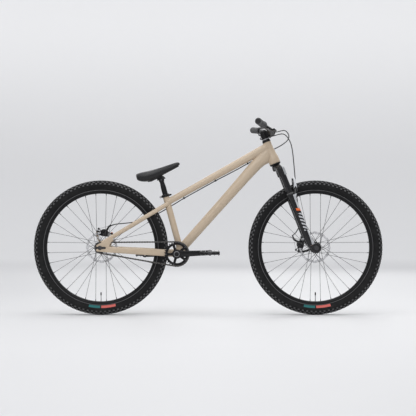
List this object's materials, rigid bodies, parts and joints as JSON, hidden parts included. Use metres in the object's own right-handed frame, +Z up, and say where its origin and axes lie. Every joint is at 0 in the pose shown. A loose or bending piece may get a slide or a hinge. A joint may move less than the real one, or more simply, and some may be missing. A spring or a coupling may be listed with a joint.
{
  "type": "dirt jump bike",
  "caption": "Dirt jump bike with a low sloping frame, suspension fork, small tilted saddle, single-speed chain drive and cable disc brakes.",
  "frame": {"origin": "on the ground, midway between the two axles", "axes": "+X forward towards the front wheel, +Y to the rider's left, +Z up"},
  "size_m": [1.75, 0.772, 0.9633],
  "materials": {
    "frame_paint": "satin sand paint",
    "black_paint": "gloss black paint",
    "black_metal": "black anodised satin",
    "dark_metal": "dark satin steel",
    "steel": "bright brushed steel",
    "chain_steel": "oiled brown-grey steel",
    "tyre": "matt black knobbled rubber",
    "rubber": "matt black rubber",
    "black_plastic": "matt black moulded plastic",
    "cover": "black coated fabric cover",
    "housing": "black cable housing"
  },
  "bodies": {
    "frame": {"frame": "frame_paint", "upper_headset_cup": "black_metal", "lower_headset_cup": "black_metal", "seat_collar": "black_metal", "right_bottom_bracket_cup": "black_metal", "left_bottom_bracket_cup": "black_metal", "rear_axle": "dark_metal", "rear_caliper": "black_metal", "rear_brake_housing": "housing", "chain": "chain_steel"},
    "seat": {"seat_post": "black_metal", "saddle_base": "black_plastic", "saddle_pad": "cover"},
    "steering": {"fork_crown_and_steerer": "black_paint", "right_stanchion": "black_metal", "left_stanchion": "black_metal", "stem": "black_metal", "stem_faceplate": "black_metal", "headset_spacer": "black_metal", "headset_top_cap": "black_metal", "handlebar": "black_metal", "right_grip": "rubber", "left_grip": "rubber", "right_lever_perch": "black_metal", "left_lever_perch": "black_metal", "front_brake_housing": "housing"},
    "right_lever": {"right_brake_lever": "black_metal"},
    "left_lever": {"left_brake_lever": "black_metal"},
    "lowers": {"fork_lowers": "black_paint", "right_fork_wiper": "rubber", "left_fork_wiper": "rubber", "front_axle": "dark_metal", "front_caliper": "black_metal"},
    "front_caliper_arm": {"front_caliper_arm": "dark_metal"},
    "rear_caliper_arm": {"rear_caliper_arm": "dark_metal"},
    "front_wheel": {"front_tyre": "tyre", "front_rim": "black_metal", "front_hub_and_spokes": "steel", "front_brake_disc": "steel", "front_valve": "dark_metal"},
    "rear_wheel": {"rear_tyre": "tyre", "rear_rim": "black_metal", "rear_hub_and_spokes": "steel", "rear_brake_disc": "steel", "rear_valve": "dark_metal"},
    "cog": {"rear_cog": "dark_metal"},
    "crank": {"crank_spindle": "dark_metal", "right_crank_arm": "black_metal", "left_crank_arm": "black_metal", "chainring": "black_metal", "right_pedal_axle": "steel", "left_pedal_axle": "steel"},
    "right_pedal": {"right_pedal": "black_metal"},
    "left_pedal": {"left_pedal": "black_metal"}
  },
  "joints": [
    {"name": "steering_turn", "type": "hinge", "parent": "frame", "child": "steering", "pos_m": [0.31431, 0, 0.81274], "axis": [-0.3633, 0, 0.9317], "range_deg": [-70, 70], "deforming": ["rear_brake_housing"]},
    {"name": "fork_slide", "type": "slide", "parent": "steering", "child": "lowers", "axis": [-0.3633, 0, 0.9317], "range_m": [0, 0.085], "stiffness_N_per_m": 7500, "springref_m": -0.02, "deforming": ["front_brake_housing"]},
    {"name": "front_wheel_spin", "type": "hinge", "parent": "lowers", "child": "front_wheel", "pos_m": [0.538, 0, 0.337], "axis": [0, 1, 0], "continuous": true},
    {"name": "rear_wheel_spin", "type": "hinge", "parent": "frame", "child": "rear_wheel", "pos_m": [-0.538, 0, 0.337], "axis": [0, 1, 0], "continuous": true},
    {"name": "crank_spin", "type": "hinge", "parent": "frame", "child": "crank", "pos_m": [-0.15663, 0, 0.306], "axis": [0, 1, 0], "continuous": true, "deforming": ["chain"]},
    {"name": "cog_spin", "type": "hinge", "parent": "frame", "child": "cog", "pos_m": [-0.538, 0, 0.337], "axis": [0, 1, 0], "continuous": true},
    {"name": "right_pedal_spin", "type": "hinge", "parent": "crank", "child": "right_pedal", "pos_m": [0.00822, 0, 0.3132], "axis": [0, 1, 0], "continuous": true},
    {"name": "left_pedal_spin", "type": "hinge", "parent": "crank", "child": "left_pedal", "pos_m": [-0.32147, 0, 0.2988], "axis": [0, 1, 0], "continuous": true},
    {"name": "seat_height", "type": "slide", "parent": "frame", "child": "seat", "axis": [-0.2605, 0, 0.9655], "range_m": [-0.05, 0.08]},
    {"name": "right_lever_pull", "type": "hinge", "parent": "steering", "child": "right_lever", "pos_m": [0.29362, -0.24226, 0.92364], "axis": [-0.4538, 0.0323, -0.8905], "range_deg": [0, 22], "stiffness_Nm_per_rad": 0.8, "springref_deg": -17.19},
    {"name": "left_lever_pull", "type": "hinge", "parent": "steering", "child": "left_lever", "pos_m": [0.29362, 0.24226, 0.92364], "axis": [0.4538, 0.0323, 0.8905], "range_deg": [0, 22], "stiffness_Nm_per_rad": 0.8, "springref_deg": -17.19},
    {"name": "rear_caliper_arm_turn", "type": "hinge", "parent": "frame", "child": "rear_caliper_arm", "pos_m": [-0.5255, 0.0634, 0.40791], "axis": [0, 1, 0], "range_deg": [0, 18]},
    {"name": "front_caliper_arm_turn", "type": "hinge", "parent": "lowers", "child": "front_caliper_arm", "pos_m": [0.46757, 0.051, 0.35197], "axis": [0, 1, 0], "range_deg": [0, 18]}
  ],
  "couplings": [
    {"joint": "cog_spin", "follows": "crank_spin", "ratio": 2.3077},
    {"joint": "rear_caliper_arm_turn", "follows": "right_lever_pull", "ratio": 0.8},
    {"joint": "front_caliper_arm_turn", "follows": "left_lever_pull", "ratio": 0.8}
  ]
}
